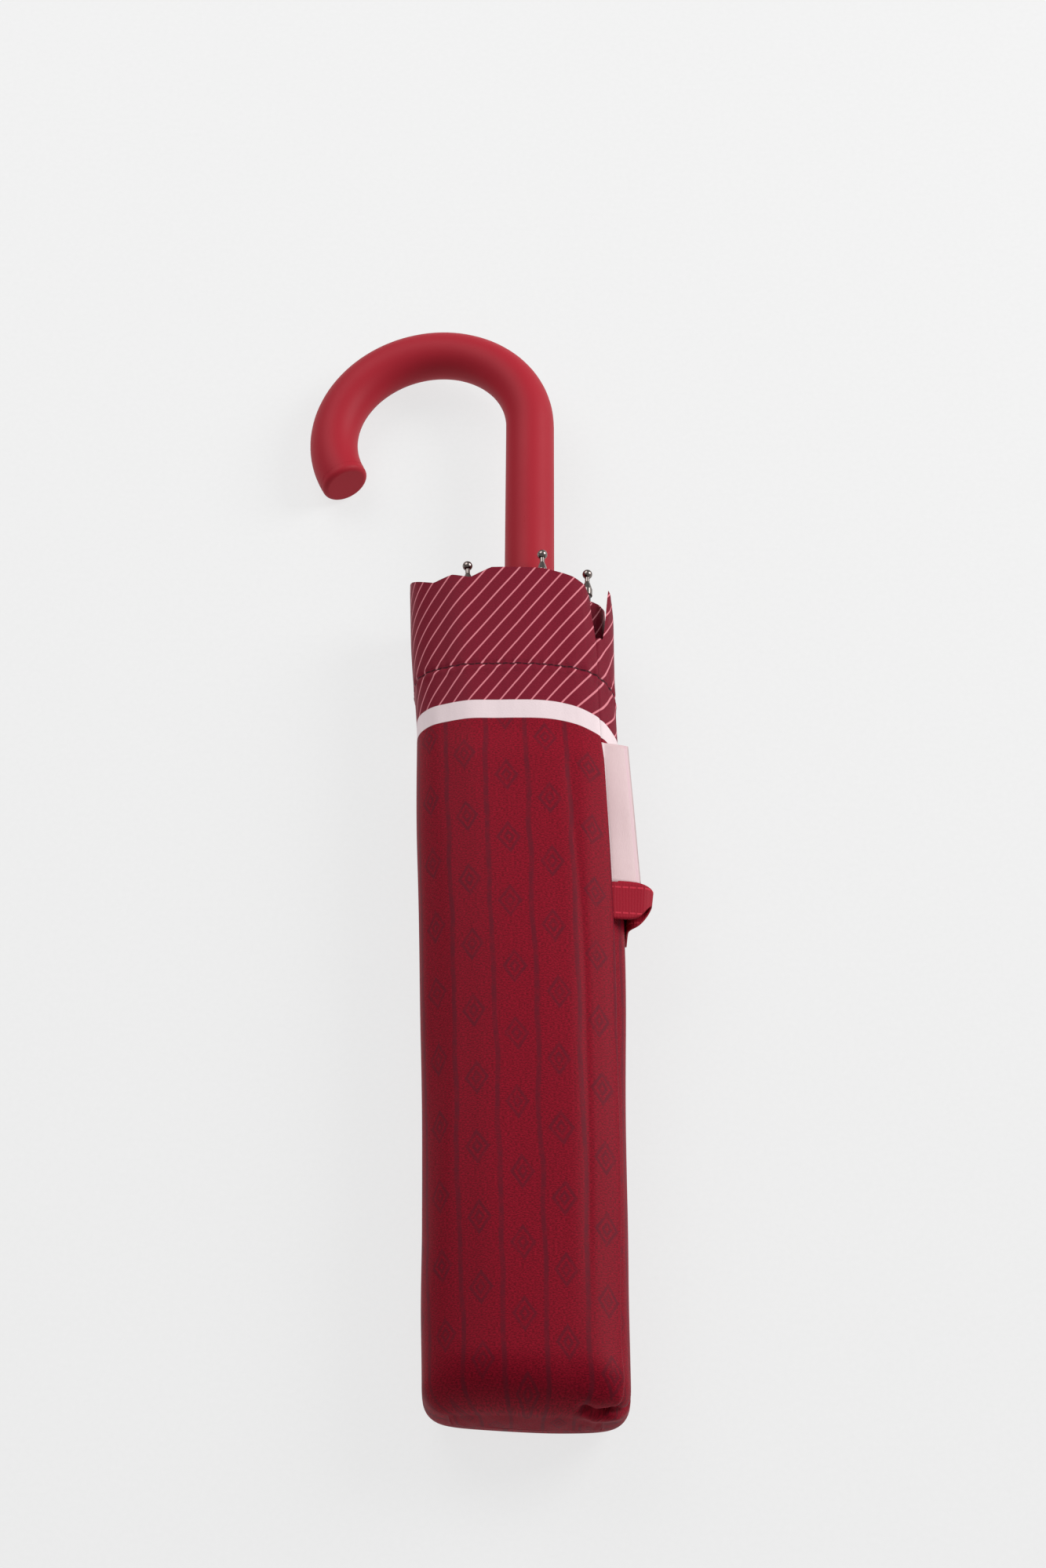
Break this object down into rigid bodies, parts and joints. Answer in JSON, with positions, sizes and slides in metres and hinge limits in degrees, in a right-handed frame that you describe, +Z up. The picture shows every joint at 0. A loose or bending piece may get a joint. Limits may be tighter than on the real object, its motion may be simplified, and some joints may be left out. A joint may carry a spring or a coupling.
{
  "type": "folding umbrella",
  "caption": "Collapsible folding umbrella, furled and strapped shut, with a matte crook handle, sliding tube shaft and folded ribs inside its own canopy.",
  "frame": {"origin": "on the shaft's line, under the middle of the furled cloth's length, at the surface the umbrella lies on", "axes": "+Y along the shaft from the closed end to the handle, +Z up from the surface the umbrella lies on, +X to the side away from the crook's opening"},
  "size_m": [0.1069, 0.3844, 0.035],
  "materials": {
    "canopy_cloth": "fine plain weave, red, with a tonal motif",
    "strap_tape": "bright red woven tape",
    "fastener_tape": "hook and loop tape, dark red",
    "label_satin": "woven satin, pale pink",
    "soft_touch_handle": "matte soft-touch coating, red",
    "steel_tube": "plated steel tube",
    "steel_pins": "bright steel wire and pins",
    "black_moulding": "moulded, satin black",
    "aluminium_rib": "pressed, plain",
    "glassfibre_rib": "glass fibre rod, dark grey",
    "nickel_tip": "dark nickel plate"
  },
  "bodies": {
    "canopy": {"canopy_wrap": "canopy_cloth", "canopy_folds": "canopy_cloth", "strap_root": "strap_tape", "strap_loop_patch": "fastener_tape", "label": "label_satin", "outer_tube": "steel_tube", "outer_tube_bush": "black_moulding", "crown": "black_moulding", "crown_wire": "steel_pins", "crown_cap": "soft_touch_handle", "runner": "black_moulding", "runner_wire": "steel_pins", "rib_rivets": "steel_pins", "top_rib_1": "aluminium_rib", "top_rib_2": "aluminium_rib", "top_rib_3": "aluminium_rib", "top_rib_4": "aluminium_rib", "top_rib_5": "aluminium_rib", "top_rib_6": "aluminium_rib", "stretcher_1": "aluminium_rib", "stretcher_2": "aluminium_rib", "stretcher_3": "aluminium_rib", "stretcher_4": "aluminium_rib", "stretcher_5": "aluminium_rib", "stretcher_6": "aluminium_rib", "middle_rib_1": "aluminium_rib", "middle_rib_2": "aluminium_rib", "middle_rib_3": "aluminium_rib", "middle_rib_4": "aluminium_rib", "middle_rib_5": "aluminium_rib", "middle_rib_6": "aluminium_rib", "link_wire_1": "steel_pins", "link_wire_2": "steel_pins", "link_wire_3": "steel_pins", "link_wire_4": "steel_pins", "link_wire_5": "steel_pins", "link_wire_6": "steel_pins", "outer_rib_1": "glassfibre_rib", "outer_rib_2": "glassfibre_rib", "outer_rib_3": "glassfibre_rib", "outer_rib_4": "glassfibre_rib", "outer_rib_5": "glassfibre_rib", "outer_rib_6": "glassfibre_rib", "rib_tip_1": "nickel_tip", "rib_tip_2": "nickel_tip", "rib_tip_3": "nickel_tip", "rib_tip_4": "nickel_tip", "rib_tip_5": "nickel_tip", "rib_tip_6": "nickel_tip"},
    "strap": {"strap_tail": "strap_tape", "strap_hook_patch": "fastener_tape"},
    "catch": {"runner_catch": "steel_pins"},
    "middle_shaft": {"middle_tube": "steel_tube", "middle_top_bush": "black_moulding", "middle_end_bush": "black_moulding"},
    "handle": {"crook_handle": "soft_touch_handle", "handle_pin": "steel_pins", "lower_tube": "steel_tube", "lower_top_bush": "black_moulding"}
  },
  "joints": [
    {"name": "middle_tube_slide", "type": "slide", "parent": "canopy", "child": "middle_shaft", "axis": [0, 1, 0], "range_m": [0, 0.163]},
    {"name": "lower_tube_slide", "type": "slide", "parent": "middle_shaft", "child": "handle", "axis": [0, 1, 0], "range_m": [0, 0.159]},
    {"name": "strap_peel", "type": "hinge", "parent": "canopy", "child": "strap", "pos_m": [0.0338, 0.022, 0.0248], "axis": [0, -1, 0], "range_deg": [0, 95]},
    {"name": "catch_press", "type": "slide", "parent": "canopy", "child": "catch", "axis": [-0.7071, 0, -0.7071], "range_m": [0, 0.0018], "stiffness_N_per_m": 500}
  ]
}
